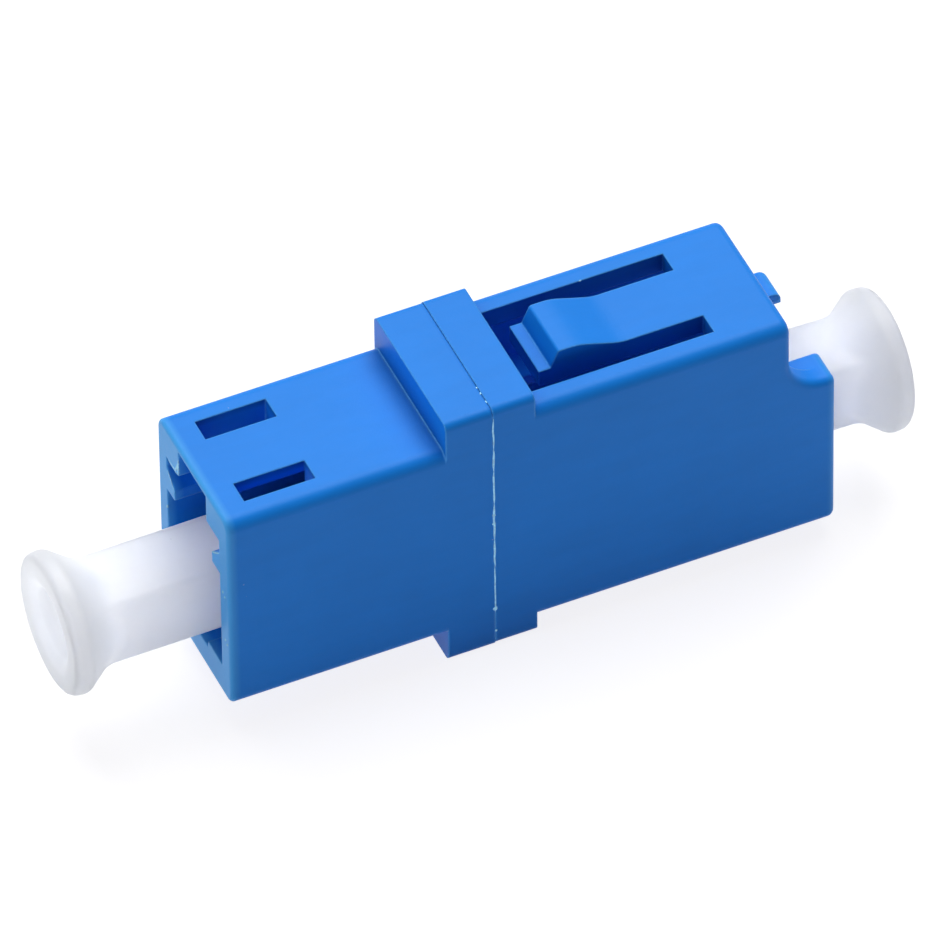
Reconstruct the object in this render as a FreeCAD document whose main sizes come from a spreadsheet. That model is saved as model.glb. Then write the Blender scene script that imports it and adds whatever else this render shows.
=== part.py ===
"""LC fibre adapter: two welded housing halves, a split alignment sleeve and two dust caps.

Millimetres. X is the optical axis, Z is up, and the origin is the point where two ferrules meet.
The front half opens towards -X and the rear half, which carries the snap latch, towards +X.
"""
import FreeCAD, Part
import Sketcher
import os
import re

SIZES = (
    # the alignment sleeve and the holder that floats it
    ("sleeve_bore", 1.25, "inside diameter of the split sleeve, a ferrule's diameter"),
    ("sleeve_outer", 1.62, "outside diameter of the split sleeve"),
    ("sleeve_length", 6.8, "length of the split sleeve"),
    ("sleeve_slit", 0.2, "width of the slit along the sleeve"),
    ("sleeve_play", 0.04, "radial clearance round the sleeve in its holder"),
    ("sleeve_endplay", 0.1, "clearance between each end of the sleeve and its lip"),
    ("ferrule_entry", 1.45, "least diameter of the tapered hole through each holder's lip"),
    ("entry_mouth", 1.75, "diameter of that hole at the holder's tip"),
    ("lip_depth", 0.6, "thickness of the lip that keeps the sleeve in"),
    ("holder_outer", 2.5, "outside diameter of a sleeve holder at its root"),
    ("holder_draft", 0.1, "how much thinner the holder is at its tip"),
    # the port that a plug goes into, the same at both ends
    ("port_width", 4.8, "width between a port's side walls"),
    ("port_drop", 2.4, "from the optical axis down to the rails that carry the plug"),
    ("port_rise", 2.4, "from the optical axis up to the underside of the side ledges"),
    ("relief_width", 2.2, "width of the shallow relief between the floor rails"),
    ("relief_depth", 0.3, "depth of that relief"),
    ("ledge_gap", 3.4, "clear width between the tips of the two ledges"),
    ("ledge_tip", 0.5, "thickness of a ledge at its tip"),
    ("ledge_slope", 0.6, "how much higher a ledge's top is at the wall than at its tip"),
    ("catch_gap", 2.5, "clear width between the two latch catches"),
    ("catch_height", 4.1, "from the optical axis up to the underside of the catches"),
    ("catch_depth", 1.1, "length of a catch, from the mouth to its catching face"),
    ("front_roof", 5.0, "from the axis up to the roof of the front port's arm channel"),
    ("rear_roof", 5.45, "from the axis up to the roof of the rear port's arm channel"),
    ("lead_rise", 0.35, "height of the lead-in cut under the roof at a mouth"),
    ("lead_run", 0.7, "length of that lead-in"),
    # the two housing halves
    ("body_width", 6.4, "width of both halves and of the flange"),
    ("front_top", 5.55, "from the axis up to the front half's top"),
    ("front_bottom", 3.9, "from the axis down to the front half's bottom"),
    ("rear_top", 6.35, "from the axis up to the rear half's top"),
    ("rear_bottom", 4.5, "from the axis down to the rear half's bottom"),
    ("front_mouth", 11.3, "from the centre to the front port's mouth"),
    ("rear_mouth", 11.4, "from the centre to the end of the rear half's top wall"),
    ("cheek_end", 13.25, "from the centre to the end of the rear half's lower walls"),
    ("cheek_fillet", 1.4, "radius in the corner where the cheeks leave the side walls"),
    ("seam_setback", 0.65, "from the centre back to the weld seam"),
    ("front_flange", 1.9, "thickness of the front half's share of the flange"),
    ("rear_flange", 1.7, "thickness of the rear half's share of the flange"),
    ("flange_top", 7.0, "from the axis up to the flange's top"),
    ("flange_bottom", 5.3, "from the axis down to the flange's bottom"),
    ("weld_step", 0.05, "how much higher the rear half sits than the front half"),
    ("web", 1.95, "thickness of the wall behind each port, measured from the seam"),
    ("top_radius", 0.5, "rounding of the long upper edges"),
    ("bottom_radius", 0.4, "rounding of the long lower edges"),
    ("flange_radius", 0.3, "rounding of the flange's four corners"),
    ("mouth_rim", 0.17, "rounding of the outer edges of the front mouth"),
    ("end_rim", 0.3, "rounding of the outer edges of the rear half's stepped end"),
    # the moulding windows over the front catches
    ("window_length", 2.85, "length of each window, from the catching face"),
    ("window_inset", 0.15, "from a window's outer edge to the port's side wall"),
    # the snap latch that holds the adapter in a panel
    ("panel_gap", 1.0, "from the flange's rear face to the latch's nose"),
    ("snap_width", 2.6, "width of the latch"),
    ("snap_slot", 0.95, "width of the slot on each side of the latch"),
    ("snap_root", 8.7, "from the centre to the ends of the slots"),
    ("nose_length", 0.48, "length of the low nose at the latch's free end"),
    ("nose_drop", 0.15, "how far the nose lies under the housing's top"),
    ("ridge_lift", 0.6, "how far the latch's ridge stands above the housing's top"),
    ("ridge_slant", 0.33, "how far the ridge's steep front leans back"),
    ("ridge_flat", 0.8, "length of the ridge's flat top"),
    ("ridge_ramp", 1.7, "length of the ramp from the ridge down to the housing's top"),
    ("ramp_bend", 1.8, "radius of the bends at the two ends of the ramp"),
    ("ridge_edge", 0.12, "rounding of the ridge's front edge"),
    # the dust caps, alike but seated a little differently
    ("cap_across", 3.1, "width of a cap's shank across its flats"),
    ("cap_corner", 0.34, "rounding of the shank's long edges"),
    ("cap_play", 0.05, "radial clearance between a cap's bore and the sleeve holder"),
    ("cap_inner", 2.9, "from the centre to the shank's inner end"),
    ("cap_hollow", 13.4, "from the centre to the bottom of the shank's bore"),
    ("flare_start", 14.48, "from the centre to the small end of the flare's cone, inside the shank"),
    ("flare_widest", 16.35, "from the centre to the large end of that cone"),
    ("cap_end", 17.0, "from the centre to the cap's outer end"),
    ("cone_radius", 1.4, "radius of the cone's small end"),
    ("flare_radius", 2.8, "radius of the cone's large end"),
    ("rim_fall", 0.06, "how much smaller the rim gets towards the outer end"),
    ("flare_bend", 0.45, "rounding where the cone meets the rim"),
    ("rim_bend", 0.32, "rounding of the outer end's edge"),
    ("dish_mouth", 2.1, "radius of the dished recess at the cap's outer end"),
    ("dish_depth", 0.4, "depth of the dish, down to the hole in its middle"),
    ("hole_mouth", 1.4, "radius of that hole where it leaves the dish"),
    ("hole_floor", 1.1, "radius of the hole at its bottom"),
    ("hole_depth", 1.6, "from the cap's outer end to the hole's bottom"),
    ("front_pulled", 0.2, "how far the front cap stands out from its nominal seat"),
    ("rear_pushed", 0.2, "how far the rear cap goes in past its nominal seat"),
    ("front_droop", 0.3, "how far the front cap hangs down in its play, in degrees"),
    ("rear_droop", 1.7, "how far the rear cap hangs down in its play, in degrees"),
)

OVERLAP = 0.5       # how far an added part runs into what it joins, and a cut runs past its faces
NEAR = 1e-4         # two lengths closer than this are the same

doc = FreeCAD.newDocument("lc_adapter")
sheet = doc.addObject("Spreadsheet::Sheet", "Sizes")
for row, (alias, size, meaning) in enumerate(SIZES, 1):
    sheet.set("A%d" % row, meaning)
    sheet.set("B%d" % row, str(size))
    sheet.setAlias("B%d" % row, alias)
doc.recompute()
ALIASES = {alias for alias, size, meaning in SIZES}


def bound(expression):
    """The expression with each size's name pointed at its cell in the sheet."""
    return re.sub(r"[a-z_]+", lambda word: "Sizes." + word.group() if word.group() in ALIASES
                  else word.group(), str(expression))


def value(expression):
    """What the expression comes to with the sheet's present sizes."""
    return float(sheet.evalExpression(str(expression)))


def along(side, expression):
    """The place at that distance from the centre: side is -1 for the front, +1 for the rear."""
    return "(%s)" % expression if side > 0 else "-(%s)" % expression


# ---- sketches ----

def sketch_on(body, role, name, offset="0"):
    """An empty sketch on one of the body's own origin planes, moved along the plane's normal."""
    sketch = body.newObject("Sketcher::SketchObject", name)
    plane = next(item for item in body.Origin.OriginFeatures if item.Role == role)
    sketch.AttachmentSupport = [(plane, "")]
    sketch.MapMode = "FlatFace"
    sketch.setExpression("AttachmentOffset.Base.z", bound(offset))
    return sketch


def dimension(sketch, kind, references, expression):
    """One driving dimension, tied to the sheet."""
    number = sketch.addConstraint(Sketcher.Constraint(kind, *references, value(expression)))
    sketch.setExpression("Constraints[%d]" % number, bound(expression))


def draw_outline(sketch, corners):
    """A closed outline of straight lines through corners, each a pair of expressions."""
    first = sketch.GeometryCount
    spots = [FreeCAD.Vector(value(across), value(up), 0) for across, up in corners]
    for start, end in zip(spots, spots[1:] + spots[:1]):
        sketch.addGeometry(Part.LineSegment(start, end), False)
    for index, (across, up) in enumerate(corners):
        following = first + (index + 1) % len(corners)
        sketch.addConstraint(Sketcher.Constraint("Coincident", first + index, 2, following, 1))
        dimension(sketch, "DistanceX", (-1, 1, first + index, 1), across)
        dimension(sketch, "DistanceY", (-1, 1, first + index, 1), up)


def draw_rectangle(sketch, left, right, low, high):
    """A rectangle between four expressions."""
    draw_outline(sketch, ((left, low), (right, low), (right, high), (left, high)))


def draw_circle(sketch, diameter):
    """A circle round the sketch's origin."""
    circle = Part.Circle(FreeCAD.Vector(), FreeCAD.Vector(0, 0, 1), value(diameter) / 2)
    number = sketch.addGeometry(circle, False)
    sketch.addConstraint(Sketcher.Constraint("Coincident", number, 3, -1, 1))
    dimension(sketch, "Diameter", (number,), diameter)


# ---- features ----

def extrude(body, kind, name, sketch, length, reverse=False, midplane=False):
    """A Pad or Pocket of the sketch; without reverse a Pad goes along the normal."""
    feature = body.newObject("PartDesign::" + kind, name)
    feature.Profile = sketch
    feature.setExpression("Length", bound(length))
    feature.Reversed = reverse
    feature.Midplane = midplane
    doc.recompute()
    return feature


def turn(body, kind, name, sketch):
    """A Revolution or Groove of the sketch round the X axis."""
    feature = body.newObject("PartDesign::" + kind, name)
    feature.Profile = sketch
    feature.ReferenceAxis = (sketch, ["H_Axis"])
    feature.Angle = 360
    doc.recompute()
    return feature


def rounded(body, name, radius, chosen):
    """A Fillet on those edges of the body's shape for which chosen(edge) is true."""
    base = body.Tip
    names = ["Edge%d" % number for number, edge in enumerate(base.Shape.Edges, 1) if chosen(edge)]
    fillet = body.newObject("PartDesign::Fillet", name)
    fillet.Base = (base, names)
    fillet.setExpression("Radius", bound(radius))
    doc.recompute()
    return fillet


def spans(edge, axis):
    """Whether the edge runs straight along one axis: 0, 1 or 2."""
    box = edge.BoundBox
    sizes = (box.XLength, box.YLength, box.ZLength)
    return all(size < NEAR for index, size in enumerate(sizes) if index != axis)


def lies_at(edge, x=None, z=None):
    """Whether the whole edge lies at the given x, the given z, or both."""
    box = edge.BoundBox
    at_x = x is None or max(abs(box.XMin - x), abs(box.XMax - x)) < NEAR
    at_z = z is None or max(abs(box.ZMin - z), abs(box.ZMax - z)) < NEAR
    return at_x and at_z


# ---- what both housing halves share ----

HALF_WIDTH = "body_width / 2"
HALF_PORT = "port_width / 2"
LEDGE_TOP = "port_rise + ledge_tip"
HOLDER_TIP = "sleeve_length / 2 + sleeve_endplay + lip_depth"


def both_sides(corners):
    """An outline drawn for y > 0, from the bottom up, closed by its mirror image."""
    mirror = [("-(%s)" % across, up) for across, up in reversed(corners)]
    return list(corners) + mirror


def cut_port(body, side, mouth, roof):
    """The plug's port, with floor relief, side ledges, catches and latch-arm channel."""
    corners = both_sides((
        ("relief_width / 2", "-(port_drop + relief_depth)"),
        ("relief_width / 2", "-port_drop"),
        (HALF_PORT, "-port_drop"),
        (HALF_PORT, "port_rise"),
        ("ledge_gap / 2", "port_rise"),
        ("ledge_gap / 2", LEDGE_TOP),
        (HALF_PORT, LEDGE_TOP + " + ledge_slope"),
        (HALF_PORT, "catch_height"),
        ("catch_gap / 2", "catch_height"),
        ("catch_gap / 2", roof),
    ))
    inner_face = "web - seam_setback" if side > 0 else "web + seam_setback"
    sketch = sketch_on(body, "YZ_Plane", "PortSection", along(side, mouth))
    draw_outline(sketch, corners)
    extrude(body, "Pocket", "Port", sketch, "%s - (%s)" % (mouth, inner_face), reverse=side < 0)


def cut_lead_in(body, side, mouth, roof):
    """The sloping lead-in under the roof of the latch-arm channel."""
    sketch = sketch_on(body, "XZ_Plane", "LeadInSection")
    draw_outline(sketch, (
        (along(side, mouth), roof),
        (along(side, mouth), roof + " + lead_rise"),
        (along(side, mouth + " - lead_run"), roof),
    ))
    extrude(body, "Pocket", "LeadIn", sketch, "catch_gap", midplane=True)


def add_sleeve_holder(body, side):
    """The round holder that stands on the web and keeps one end of the sleeve."""
    seam = "-seam_setback"
    root = along(side, "web - seam_setback" if side > 0 else "web + seam_setback")
    sketch = sketch_on(body, "XZ_Plane", "HolderSection")
    draw_outline(sketch, (
        (seam, "0"),
        (along(side, HOLDER_TIP), "0"),
        (along(side, HOLDER_TIP), "(holder_outer - holder_draft) / 2"),
        (root, "holder_outer / 2"),
        (seam, "holder_outer / 2"),
    ))
    turn(body, "Revolution", "Holder", sketch)
    chamber = "sleeve_outer / 2 + sleeve_play"
    lip = "sleeve_length / 2 + sleeve_endplay"
    sketch = sketch_on(body, "XZ_Plane", "ChamberSection")
    draw_outline(sketch, (
        (seam, "0"),
        (along(side, HOLDER_TIP), "0"),
        (along(side, HOLDER_TIP), "entry_mouth / 2"),
        (along(side, lip), "ferrule_entry / 2"),
        (along(side, lip), chamber),
        (seam, chamber),
    ))
    turn(body, "Groove", "Chamber", sketch)


# ---- the front half ----

def front_housing():
    """The short half: flush mouth, two windows over the catches, its share of the flange."""
    body = doc.addObject("PartDesign::Body", "FrontHousing")
    body.Label = "front_housing"
    sketch = sketch_on(body, "YZ_Plane", "ShellSection", "-seam_setback")
    draw_rectangle(sketch, "-" + HALF_WIDTH, HALF_WIDTH, "-front_bottom", "front_top")
    extrude(body, "Pad", "Shell", sketch, "front_mouth - seam_setback", reverse=True)
    rounded(body, "TopEdges", "top_radius",
            lambda edge: spans(edge, 0) and lies_at(edge, z=value("front_top")))
    rounded(body, "BottomEdges", "bottom_radius",
            lambda edge: spans(edge, 0) and lies_at(edge, z=-value("front_bottom")))
    sketch = sketch_on(body, "YZ_Plane", "FlangeSection", "-seam_setback")
    draw_rectangle(sketch, "-" + HALF_WIDTH, HALF_WIDTH, "-flange_bottom", "flange_top")
    extrude(body, "Pad", "Flange", sketch, "front_flange", reverse=True)
    heights = (value("flange_top"), -value("flange_bottom"))
    rounded(body, "FlangeCorners", "flange_radius",
            lambda edge: spans(edge, 0) and any(lies_at(edge, z=height) for height in heights))
    rounded(body, "MouthRim", "mouth_rim", lambda edge: lies_at(edge, x=-value("front_mouth")))
    cut_port(body, -1, "front_mouth", "front_roof")
    cut_lead_in(body, -1, "front_mouth", "front_roof")
    cut_windows(body)
    add_sleeve_holder(body, -1)
    return body


def cut_windows(body):
    """The pair of windows in the top wall that leave each catch its catching face."""
    sketch = sketch_on(body, "XY_Plane", "WindowOutline", "front_top + %s" % OVERLAP)
    start = "-(front_mouth - catch_depth)"
    draw_rectangle(sketch, start, start + " + window_length", "catch_gap / 2",
                   HALF_PORT + " - window_inset")
    window = extrude(body, "Pocket", "Window", sketch, "front_top - catch_height + %s" % OVERLAP)
    pair = body.newObject("PartDesign::Mirrored", "WindowPair")
    pair.Originals = [window]
    plane = next(item for item in body.Origin.OriginFeatures if item.Role == "XZ_Plane")
    pair.MirrorPlane = (plane, [""])
    body.Tip = pair
    doc.recompute()


# ---- the rear half ----

def rear_housing():
    """The long half: snap latch in its top wall, cheeks that reach past the mouth."""
    body = doc.addObject("PartDesign::Body", "RearHousing")
    body.Label = "rear_housing"
    sketch = sketch_on(body, "YZ_Plane", "ShellSection", "-seam_setback")
    draw_rectangle(sketch, "-" + HALF_WIDTH, HALF_WIDTH, "-rear_bottom", "rear_top")
    extrude(body, "Pad", "Shell", sketch, "cheek_end + seam_setback")
    rounded(body, "TopEdges", "top_radius",
            lambda edge: spans(edge, 0) and lies_at(edge, z=value("rear_top")))
    rounded(body, "BottomEdges", "bottom_radius",
            lambda edge: spans(edge, 0) and lies_at(edge, z=-value("rear_bottom")))
    cut_notch(body)
    sketch = sketch_on(body, "YZ_Plane", "FlangeSection", "-seam_setback")
    draw_rectangle(sketch, "-" + HALF_WIDTH, HALF_WIDTH, "weld_step - flange_bottom",
                   "flange_top + weld_step")
    extrude(body, "Pad", "Flange", sketch, "rear_flange")
    heights = (value("flange_top + weld_step"), value("weld_step - flange_bottom"))
    rounded(body, "FlangeCorners", "flange_radius",
            lambda edge: spans(edge, 0) and any(lies_at(edge, z=height) for height in heights))
    cut_port(body, 1, "cheek_end", "rear_roof")
    cut_chamber(body)
    add_sleeve_holder(body, 1)
    cut_latch_opening(body)
    add_snap_latch(body)
    return body


def cut_notch(body):
    """Cut the top away past the mouth, down to the ledges, with a fillet in the corner."""
    sketch = sketch_on(body, "XZ_Plane", "NotchSection")
    over = " + %s" % OVERLAP
    draw_rectangle(sketch, "rear_mouth", "cheek_end" + over, LEDGE_TOP, "rear_top" + over)
    extrude(body, "Pocket", "Notch", sketch, "body_width" + over, midplane=True)
    rounded(body, "CheekFillet", "cheek_fillet", lambda edge: spans(edge, 1) and lies_at(
        edge, x=value("rear_mouth"), z=value(LEDGE_TOP)))
    sketch = sketch_on(body, "YZ_Plane", "ReliefSection", "cheek_end" + over)
    draw_rectangle(sketch, "-" + HALF_PORT, HALF_PORT, LEDGE_TOP, "rear_top" + over)
    extrude(body, "Pocket", "CheekRelief", sketch, "cheek_end - rear_mouth" + over)
    rounded(body, "EndRim", "end_rim", outer_end)


def outer_end(edge):
    """Whether an edge belongs to the outline of the rear half's stepped end, clear of the port."""
    box = edge.BoundBox
    behind = box.XMin > value("rear_mouth") - NEAR
    low_or_high = box.ZMax < -value("port_drop") or box.ZMin > value("rear_top") - NEAR
    beside = min(abs(box.YMin), abs(box.YMax)) > value(HALF_PORT) + NEAR
    return behind and (low_or_high or beside)


def cut_chamber(body):
    """The open space behind the catches, through the seam, that the latch bends down into."""
    sketch = sketch_on(body, "YZ_Plane", "ChamberSection", "-seam_setback")
    draw_rectangle(sketch, "-" + HALF_PORT, HALF_PORT, LEDGE_TOP + " + ledge_slope", "rear_roof")
    extrude(body, "Pocket", "CatchChamber", sketch, "rear_mouth - catch_depth + seam_setback",
            reverse=True)


def cut_latch_opening(body):
    """The opening in the top wall that frees the latch on three sides."""
    sketch = sketch_on(body, "XY_Plane", "LatchOpeningOutline", "rear_top + %s" % OVERLAP)
    outer = "snap_width / 2 + snap_slot"
    face = "rear_flange - seam_setback"
    draw_outline(sketch, (
        (face, "-(%s)" % outer),
        ("snap_root", "-(%s)" % outer),
        ("snap_root", "-snap_width / 2"),
        (LATCH_START, "-snap_width / 2"),
        (LATCH_START, "snap_width / 2"),
        ("snap_root", "snap_width / 2"),
        ("snap_root", outer),
        (face, outer),
    ))
    extrude(body, "Pocket", "LatchOpening", sketch, "rear_top - rear_roof + 2 * %s" % OVERLAP)


NOSE = "rear_flange - seam_setback + panel_gap"
RIDGE_FRONT = NOSE + " + nose_length"
RIDGE_TOP = RIDGE_FRONT + " + ridge_slant"
RAMP_START = RIDGE_TOP + " + ridge_flat"
LATCH_START = RAMP_START + " + ridge_ramp"


def add_snap_latch(body):
    """The latch's free end: nose, steep-fronted ridge and the long ramp behind it."""
    sketch = sketch_on(body, "XZ_Plane", "LatchSection")
    ridge = "rear_top + ridge_lift"
    draw_outline(sketch, (
        (NOSE, "rear_roof"),
        (NOSE, "rear_top - nose_drop"),
        (RIDGE_FRONT, "rear_top - nose_drop"),
        (RIDGE_TOP, ridge),
        (RAMP_START, ridge),
        (LATCH_START, "rear_top"),
        (LATCH_START, "rear_roof"),
    ))
    extrude(body, "Pad", "Latch", sketch, "snap_width", midplane=True)
    rounded(body, "RampBends", "ramp_bend", lambda edge: spans(edge, 1) and (
        lies_at(edge, x=value(RAMP_START), z=value(ridge))
        or lies_at(edge, x=value(LATCH_START), z=value("rear_top"))))
    rounded(body, "RidgeEdge", "ridge_edge", lambda edge: spans(edge, 1) and lies_at(
        edge, x=value(RIDGE_TOP), z=value(ridge)))


# ---- the sleeve ----

def split_sleeve():
    """The slit ceramic tube that lines two ferrules up; it lies on the holder's wall."""
    body = doc.addObject("PartDesign::Body", "SplitSleeve")
    body.Label = "split_sleeve"
    sketch = sketch_on(body, "YZ_Plane", "TubeSection")
    draw_circle(sketch, "sleeve_outer")
    draw_circle(sketch, "sleeve_bore")
    extrude(body, "Pad", "Tube", sketch, "sleeve_length", midplane=True)
    sketch = sketch_on(body, "XY_Plane", "SlitOutline", "sleeve_outer")
    half = "sleeve_length / 2 + %s" % OVERLAP
    draw_rectangle(sketch, "-(%s)" % half, half, "-sleeve_slit / 2", "sleeve_slit / 2")
    extrude(body, "Pocket", "Slit", sketch, "sleeve_outer")
    body.setExpression("Placement.Base.z", bound("-sleeve_play"))
    return body


# ---- the dust caps ----

CAP_PIVOT = "sleeve_length / 2"


def dust_cap(name, label, side, shift, droop):
    """A soft cap: hollow square shank, flared end with a dished recess."""
    body = doc.addObject("PartDesign::Body", name)
    body.Label = label
    sketch = sketch_on(body, "YZ_Plane", "ShankSection", "cap_inner")
    draw_rectangle(sketch, "-cap_across / 2", "cap_across / 2", "-cap_across / 2", "cap_across / 2")
    extrude(body, "Pad", "Shank", sketch, "flare_widest - cap_inner")
    rounded(body, "ShankEdges", "cap_corner", lambda edge: spans(edge, 0))
    sketch = sketch_on(body, "XZ_Plane", "FlareSection")
    draw_outline(sketch, (
        ("flare_start", "0"),
        ("cap_end", "0"),
        ("cap_end", "flare_radius - rim_fall"),
        ("flare_widest", "flare_radius"),
        ("flare_start", "cone_radius"),
    ))
    turn(body, "Revolution", "Flare", sketch)
    rounded(body, "FlareBend", "flare_bend", lambda edge: lies_at(edge, x=value("flare_widest")))
    rounded(body, "RimBend", "rim_bend", lambda edge: lies_at(edge, x=value("cap_end")))
    sketch = sketch_on(body, "XZ_Plane", "RecessSection")
    draw_outline(sketch, (
        ("cap_end", "0"),
        ("cap_end", "dish_mouth"),
        ("cap_end - dish_depth", "hole_mouth"),
        ("cap_end - hole_depth", "hole_floor"),
        ("cap_end - hole_depth", "0"),
    ))
    turn(body, "Groove", "Recess", sketch)
    sketch = sketch_on(body, "YZ_Plane", "BoreSection", "cap_inner")
    draw_circle(sketch, "holder_outer + 2 * cap_play")
    extrude(body, "Pocket", "Bore", sketch, "cap_hollow - cap_inner", reverse=True)
    # the cap hangs about the part of the holder that its bore rides on
    move_x = along(side, "%s + %s * (1 - cos(%s))" % (shift, CAP_PIVOT, droop))
    move_z = "%s * sin(%s)" % (CAP_PIVOT, droop)
    heading = 0 if side > 0 else 180
    body.setExpression("Placement", bound(
        "create(<<placement>>; create(<<vector>>; %s; 0; %s); create(<<rotation>>; %d; %s; 0))"
        % (move_x, move_z, heading, droop)))
    return body


bodies = [
    front_housing(),
    rear_housing(),
    split_sleeve(),
    dust_cap("FrontCap", "front_dust_cap", -1, "front_pulled", "front_droop"),
    dust_cap("RearCap", "rear_dust_cap", 1, "-rear_pushed", "rear_droop"),
]
doc.recompute()

for item in doc.Objects:
    if "Invalid" in item.State or "Error" in item.State:
        raise RuntimeError("%s failed: %s" % (item.Name, item.State))
os.makedirs("parts", exist_ok=True)
for body in bodies:
    shape = body.Shape
    if shape.isNull() or not shape.isValid() or len(shape.Solids) != 1:
        raise RuntimeError("%s is not one valid solid" % body.Label)
    print("%s: %.2f cubic mm" % (body.Label, shape.Volume))
    shape.exportStep("parts/%s.step" % body.Label)
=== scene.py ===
"""Looks for the LC fibre adapter: plastics, dust caps, weld flash, floor, lights and camera.

Everything is in metres and in the adapter's own frame: X is the optical axis, Z is up, and the
origin is the point where two ferrules meet. The front half opens towards -X.
"""
import math

import bmesh
import bpy
from bpy.props import FloatProperty, FloatVectorProperty, IntProperty, PointerProperty
from mathutils import Matrix, Vector, noise


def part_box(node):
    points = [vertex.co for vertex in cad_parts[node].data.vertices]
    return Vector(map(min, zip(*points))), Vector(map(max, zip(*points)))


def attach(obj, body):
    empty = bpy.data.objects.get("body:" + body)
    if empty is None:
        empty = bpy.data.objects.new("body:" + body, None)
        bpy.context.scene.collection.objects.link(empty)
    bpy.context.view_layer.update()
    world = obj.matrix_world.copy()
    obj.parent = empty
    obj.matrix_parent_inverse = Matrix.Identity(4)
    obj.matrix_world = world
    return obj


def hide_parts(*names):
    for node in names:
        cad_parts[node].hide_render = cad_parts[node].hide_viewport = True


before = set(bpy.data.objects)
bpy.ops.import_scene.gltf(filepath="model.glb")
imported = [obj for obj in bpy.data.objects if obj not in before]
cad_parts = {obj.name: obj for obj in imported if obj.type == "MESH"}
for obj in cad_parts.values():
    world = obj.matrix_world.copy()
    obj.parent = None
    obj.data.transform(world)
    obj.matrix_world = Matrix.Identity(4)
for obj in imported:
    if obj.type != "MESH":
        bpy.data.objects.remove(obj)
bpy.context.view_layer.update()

bl_info = {
    "name": "LC fibre adapter",
    "version": (1, 0, 0),
    "blender": (4, 5, 0),
    "location": "3D View > Sidebar > Adapter",
    "description": "Finishes the adapter's plastics and sleeve, makes its dust caps and flash, "
                   "and lights it",
    "category": "Object",
}

MM = 0.001
FRONT_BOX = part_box("front_housing")
REAR_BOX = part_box("rear_housing")
NEAR_SIDE = FRONT_BOX[0].y      # the side wall towards -Y
SEAM_X = FRONT_BOX[1].x         # where the two halves are welded
MOUTH_X = FRONT_BOX[0].x        # the front port's mouth
FLANGE_TOP = FRONT_BOX[1].z
REAR_END = REAR_BOX[1].x        # the outer end of the rear half
FLOOR_Z = FRONT_BOX[0].z        # the flange's foot, the lowest face


# ---- shader nodes ----

class Wire:
    """A node's output that takes part in sums; a sum on wires adds Math nodes."""

    def __init__(self, finish, socket):
        self.finish = finish
        self.socket = socket

    def maths(self, operation, *values):
        return self.finish.add("Math", {"operation": operation}, dict(enumerate(values)))

    def __add__(self, other):
        return self.maths("ADD", self, other)

    def __sub__(self, other):
        return self.maths("SUBTRACT", self, other)

    def __mul__(self, other):
        return self.maths("MULTIPLY", self, other)

    def __lt__(self, other):
        return self.maths("LESS_THAN", self, other)

    def __gt__(self, other):
        return self.maths("GREATER_THAN", self, other)

    def __radd__(self, other):
        return self.maths("ADD", other, self)

    def __rsub__(self, other):
        return self.maths("SUBTRACT", other, self)

    def __rmul__(self, other):
        return self.maths("MULTIPLY", other, self)

    def __abs__(self):
        return self.maths("ABSOLUTE", self)


class Finish:
    """The nodes of a material or of the world, under construction."""

    def __init__(self, owner):
        owner.use_nodes = True
        self.owner = owner
        self.tree = owner.node_tree
        self.tree.nodes.clear()

    def add(self, kind, settings=None, sockets=None, output=0):
        """A node of that kind: its settings first, then its sockets' values or links."""
        node = self.tree.nodes.new("ShaderNode" + kind)
        for key, setting in (settings or {}).items():
            if key == "stops":
                self.set_stops(node.color_ramp, setting)
            else:
                setattr(node, key, setting)
        for key, given in (sockets or {}).items():
            if isinstance(given, Wire):
                self.tree.links.new(given.socket, node.inputs[key])
            else:
                node.inputs[key].default_value = given
        return Wire(self, node.outputs[output]) if node.outputs else None

    def set_stops(self, ramp, stops):
        """Grey stops, each a place along the ramp and a brightness."""
        while len(ramp.elements) > len(stops):
            ramp.elements.remove(ramp.elements[-1])
        while len(ramp.elements) < len(stops):
            ramp.elements.new(1.0)
        for element, (place, grey) in zip(ramp.elements, stops):
            element.position = place
            element.color = (grey, grey, grey, 1.0)

    def ramp(self, wire, *stops):
        return self.add("ValToRGB", {"stops": stops}, {"Fac": wire})

    def millimetres(self, stretch=(1.0, 1.0, 1.0)):
        """The place on the adapter in millimetres, each axis times its stretch."""
        place = self.add("TexCoord", output="Object")
        scale = tuple(axis / MM for axis in stretch)
        return self.add("VectorMath", {"operation": "MULTIPLY"}, {0: place, 1: scale})

    def axis(self, place, index):
        """One coordinate of a place: 0, 1 and 2 are X, Y and Z."""
        return self.add("SeparateXYZ", None, {"Vector": place}, output=index)

    def noise(self, place, scale, detail=2.0, roughness=0.5):
        """Noise from 0 to 1 with that many features to a millimetre."""
        return self.add("TexNoise", None, {
            "Vector": place, "Scale": scale, "Detail": detail, "Roughness": roughness})

    def tint(self, mask, under, over):
        """One colour over another, as strongly as the mask says."""
        return self.add("Mix", {"data_type": "RGBA"}, {0: mask, 6: under, 7: over}, output=2)

    def output(self, shader):
        self.add("OutputMaterial", None, {"Surface": shader})
        return self.owner

    def larger(self, first, second):
        return self.add("Math", {"operation": "MAXIMUM"}, {0: first, 1: second})


def paint(node, material):
    """Give every slot of a CAD piece the material."""
    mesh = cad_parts[node].data
    mesh.materials.clear()
    mesh.materials.append(material)


def lit(colour, factor):
    """The colour made lighter or darker, opaque."""
    return tuple(min(1.0, channel * factor) for channel in colour) + (1.0,)


# ---- mesh helpers ----

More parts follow.
